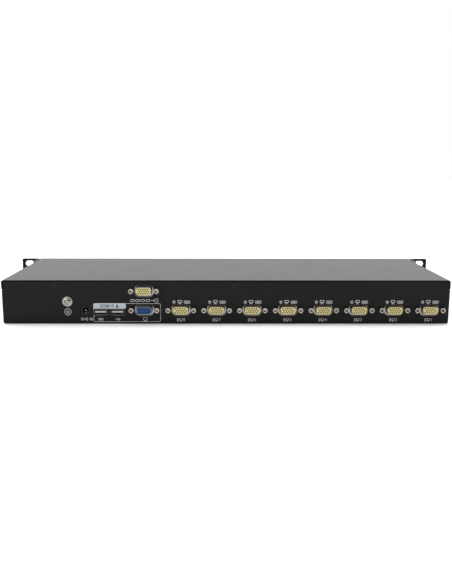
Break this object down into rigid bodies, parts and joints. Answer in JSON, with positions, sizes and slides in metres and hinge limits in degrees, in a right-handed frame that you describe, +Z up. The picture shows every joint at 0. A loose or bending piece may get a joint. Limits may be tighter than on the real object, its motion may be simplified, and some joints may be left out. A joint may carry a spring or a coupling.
{
  "type": "kvm switch",
  "caption": "1U rack-mount KVM switch: steel case with two rack ears, fifteen-pin D and USB sockets on the rear wall, push buttons and a digit display on the front.",
  "frame": {"origin": "on the surface it rests on, under the middle of the overall box (the connectors' rims are its rear face and the buttons' caps its front face)", "axes": "+Z up, +X towards port 8's side (the long way), -Y the front panel with the buttons, +Y the connectors"},
  "size_m": [0.4826, 0.157, 0.0436],
  "materials": {
    "black_powder_coat": "fine-textured satin black powder coat on steel",
    "nickel_plate": "nickel plate, slightly warm, semi-bright",
    "cream_plastic": "moulded cream-yellow insulator",
    "blue_plastic": "moulded blue insulator",
    "white_plastic": "moulded off-white insulator",
    "black_plastic": "moulded black plastic",
    "black_screw": "black zinc plated steel",
    "button_plastic": "fine-textured grey button",
    "clear_plastic": "clear moulded light guide",
    "smoked_plastic": "dark red window",
    "display_module": "two-digit display module",
    "circuit_board": "green circuit board",
    "chip_plastic": "moulded chip package",
    "aluminium": "satin aluminium",
    "ribbon": "grey ribbon cable"
  },
  "bodies": {
    "case": {"base_tray": "black_powder_coat", "top_cover": "black_powder_coat", "front_panel": "black_powder_coat", "rack_ear_port_1_side": "black_powder_coat", "rack_ear_port_8_side": "black_powder_coat", "vga_shell_port_1": "nickel_plate", "vga_insert_port_1": "cream_plastic", "vga_shell_port_2": "nickel_plate", "vga_insert_port_2": "cream_plastic", "vga_shell_port_3": "nickel_plate", "vga_insert_port_3": "cream_plastic", "vga_shell_port_4": "nickel_plate", "vga_insert_port_4": "cream_plastic", "vga_shell_port_5": "nickel_plate", "vga_insert_port_5": "cream_plastic", "vga_shell_port_6": "nickel_plate", "vga_insert_port_6": "cream_plastic", "vga_shell_port_7": "nickel_plate", "vga_insert_port_7": "cream_plastic", "vga_shell_port_8": "nickel_plate", "vga_insert_port_8": "cream_plastic", "vga_shell_console": "nickel_plate", "vga_insert_console": "blue_plastic", "vga_shell_daisy": "nickel_plate", "vga_insert_daisy": "cream_plastic", "usb_shell_1": "nickel_plate", "usb_tongue_1": "white_plastic", "usb_shell_2": "nickel_plate", "usb_tongue_2": "white_plastic", "dc_jack_body": "black_plastic", "dc_jack_pin": "nickel_plate", "ground_washer": "nickel_plate", "ground_screw": "nickel_plate", "cover_screw_1": "black_screw", "cover_screw_2": "black_screw", "cover_screw_3": "black_screw", "rack_ear_port_1_side_screw_lower": "black_screw", "rack_ear_port_1_side_screw_upper": "black_screw", "rack_ear_port_8_side_screw_lower": "black_screw", "rack_ear_port_8_side_screw_upper": "black_screw", "led_light_pipe": "clear_plastic", "display_window": "smoked_plastic", "digit_display": "display_module", "key_board": "circuit_board", "main_board": "circuit_board", "processor_chip": "chip_plastic", "video_chip": "chip_plastic", "heat_sink": "aluminium", "capacitor_1": "aluminium", "capacitor_2": "aluminium", "ribbon_cable": "ribbon"},
    "button_1": {"port_button_1": "button_plastic"},
    "button_2": {"port_button_2": "button_plastic"},
    "button_3": {"port_button_3": "button_plastic"},
    "button_4": {"port_button_4": "button_plastic"},
    "button_5": {"port_button_5": "button_plastic"},
    "button_6": {"port_button_6": "button_plastic"},
    "button_7": {"port_button_7": "button_plastic"},
    "button_8": {"port_button_8": "button_plastic"}
  },
  "joints": [
    {"name": "button_1_press", "type": "slide", "parent": "case", "child": "button_1", "axis": [0, 1, 0], "range_m": [0, 0.001], "stiffness_N_per_m": 400},
    {"name": "button_2_press", "type": "slide", "parent": "case", "child": "button_2", "axis": [0, 1, 0], "range_m": [0, 0.001], "stiffness_N_per_m": 400},
    {"name": "button_3_press", "type": "slide", "parent": "case", "child": "button_3", "axis": [0, 1, 0], "range_m": [0, 0.001], "stiffness_N_per_m": 400},
    {"name": "button_4_press", "type": "slide", "parent": "case", "child": "button_4", "axis": [0, 1, 0], "range_m": [0, 0.001], "stiffness_N_per_m": 400},
    {"name": "button_5_press", "type": "slide", "parent": "case", "child": "button_5", "axis": [0, 1, 0], "range_m": [0, 0.001], "stiffness_N_per_m": 400},
    {"name": "button_6_press", "type": "slide", "parent": "case", "child": "button_6", "axis": [0, 1, 0], "range_m": [0, 0.001], "stiffness_N_per_m": 400},
    {"name": "button_7_press", "type": "slide", "parent": "case", "child": "button_7", "axis": [0, 1, 0], "range_m": [0, 0.001], "stiffness_N_per_m": 400},
    {"name": "button_8_press", "type": "slide", "parent": "case", "child": "button_8", "axis": [0, 1, 0], "range_m": [0, 0.001], "stiffness_N_per_m": 400}
  ]
}
